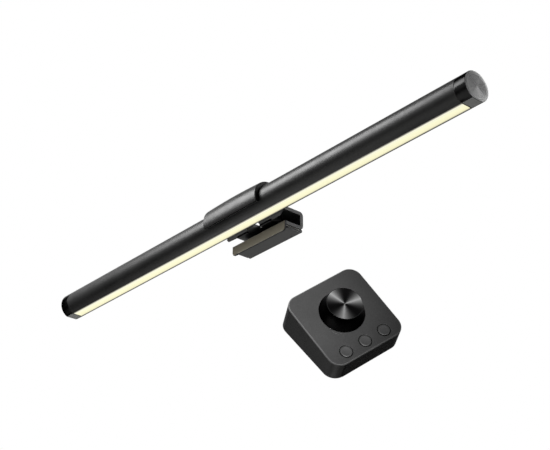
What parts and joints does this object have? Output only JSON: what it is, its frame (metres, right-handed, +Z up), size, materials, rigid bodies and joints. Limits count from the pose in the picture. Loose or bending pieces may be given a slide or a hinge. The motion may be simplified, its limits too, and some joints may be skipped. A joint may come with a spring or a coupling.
{
  "type": "monitor light bar",
  "caption": "Round light bar with a flat glowing underside, held in a cradle on a monitor clip with a sprung clamp flap, and its square wireless desk controller with a turned dial and keys.",
  "frame": {"origin": "where the monitor's top edge meets its front face, halfway along the bar", "axes": "+X along the bar, +Y towards the back of the monitor, +Z up"},
  "size_m": [0.5062, 0.1041, 0.2062],
  "materials": {
    "anodised_black": "satin anodised",
    "cap_black": "polished, finely ribbed",
    "turned_disc": "turned, dark anodised",
    "diffuser": "milky, lit from inside",
    "board_white": "white solder resist",
    "led_yellow": "phosphor resin",
    "board_green": "green solder resist",
    "part_dark": "moulded",
    "clip_black": "satin",
    "rubber_dark": "moulded",
    "lip_grey": "smooth silicone",
    "steel": "plain",
    "case_black": "fine moulded texture",
    "key_black": "fine moulded texture",
    "dial_black": "turned, gloss black",
    "cell_green": "printed sleeve, plain",
    "gold": "plated"
  },
  "bodies": {
    "clip": {"cradle_shell": "anodised_black", "cradle_liner": "rubber_dark", "bracket": "clip_black", "bracket_screws": "steel", "front_lip": "lip_grey", "lip_pad": "rubber_dark", "seat_pad": "rubber_dark", "hinge_pin": "steel", "flap_spring": "steel"},
    "bar": {"tube_housing": "anodised_black", "diffuser": "diffuser", "led_board": "board_white", "led_chips": "led_yellow", "driver_board": "board_green", "driver_parts": "part_dark", "radio_board": "board_green", "usb_c_socket": "steel", "end_cap_left": "cap_black", "end_cap_right": "cap_black", "end_disc_left": "turned_disc", "end_disc_right": "turned_disc"},
    "clamp": {"clamp_flap": "clip_black", "flap_pad": "rubber_dark"},
    "controller": {"controller_case": "case_black", "controller_base": "case_black", "controller_feet": "rubber_dark", "case_screws": "steel", "batteries": "cell_green", "battery_contacts": "gold", "controller_board": "board_green", "dial_encoder": "steel", "button_switches": "steel"},
    "knob": {"dial_shaft": "steel", "dial": "dial_black", "dial_hub": "part_dark"},
    "key_left": {"button_left": "key_black"},
    "key_middle": {"button_middle": "key_black"},
    "key_right": {"button_right": "key_black"},
    "door": {"battery_door": "case_black"}
  },
  "joints": [
    {"name": "bar_roll", "type": "hinge", "parent": "clip", "child": "bar", "pos_m": [0, -0.0186, 0.0158], "axis": [1, 0, 0], "range_deg": [-25, 25]},
    {"name": "clamp_swing", "type": "hinge", "parent": "clip", "child": "clamp", "pos_m": [0, 0.0153, -0.0008], "axis": [1, 0, 0], "range_deg": [0, 110], "stiffness_Nm_per_rad": 0.02, "springref_deg": -34.38},
    {"name": "controller_place", "type": "slide", "parent": "clip", "child": "controller", "axis": [1, 0, 0], "range_m": [0, 0.06]},
    {"name": "dial_turn", "type": "hinge", "parent": "controller", "child": "knob", "pos_m": [0.15485, -0.05698, -0.13101], "axis": [0.8348, -0.5287, 0.1537], "continuous": true},
    {"name": "press_left", "type": "slide", "parent": "controller", "child": "key_left", "axis": [-0.8348, 0.5287, -0.1537], "range_m": [0, 0.0005], "stiffness_N_per_m": 900, "springref_m": -0.0008},
    {"name": "press_middle", "type": "slide", "parent": "controller", "child": "key_middle", "axis": [-0.8348, 0.5287, -0.1537], "range_m": [0, 0.0005], "stiffness_N_per_m": 900, "springref_m": -0.0008},
    {"name": "press_right", "type": "slide", "parent": "controller", "child": "key_right", "axis": [-0.8348, 0.5287, -0.1537], "range_m": [0, 0.0005], "stiffness_N_per_m": 900, "springref_m": -0.0008},
    {"name": "door_off", "type": "slide", "parent": "controller", "child": "door", "axis": [-0.7631, 0.5849, -0.275], "range_m": [0, 0.012]}
  ]
}
